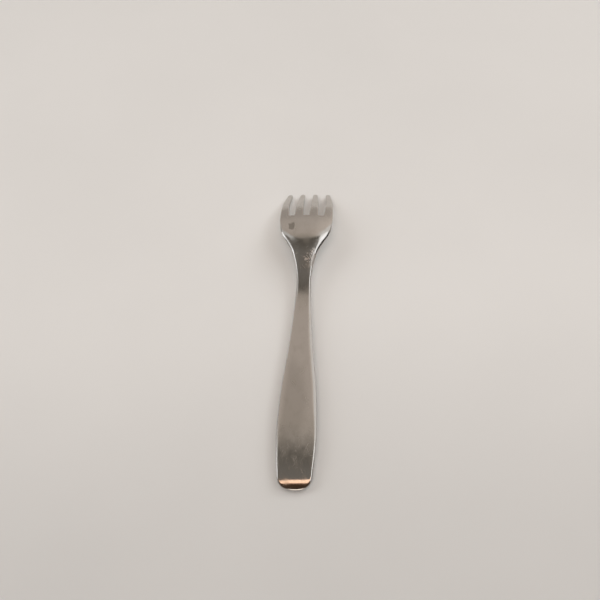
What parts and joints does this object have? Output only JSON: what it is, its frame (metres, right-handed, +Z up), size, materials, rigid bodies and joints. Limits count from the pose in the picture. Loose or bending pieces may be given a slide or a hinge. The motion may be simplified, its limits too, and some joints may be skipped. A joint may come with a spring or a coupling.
{
  "type": "baby fork",
  "caption": "Baby fork pressed from one piece of stainless steel: short blunt tines, a shallow curved palm, a narrow neck and a broad flat handle with a turned-down end.",
  "frame": {"origin": "bottom centre of the fork's box, on the table that it lies on back up", "axes": "+Y along the fork from the handle towards the tines, +X across it, +Z up out of its back"},
  "size_m": [0.0214, 0.1334, 0.0113],
  "materials": {
    "stainless_steel": "satin polish, worn with use"
  },
  "bodies": {
    "root": {"fork": "stainless_steel"}
  },
  "joints": []
}
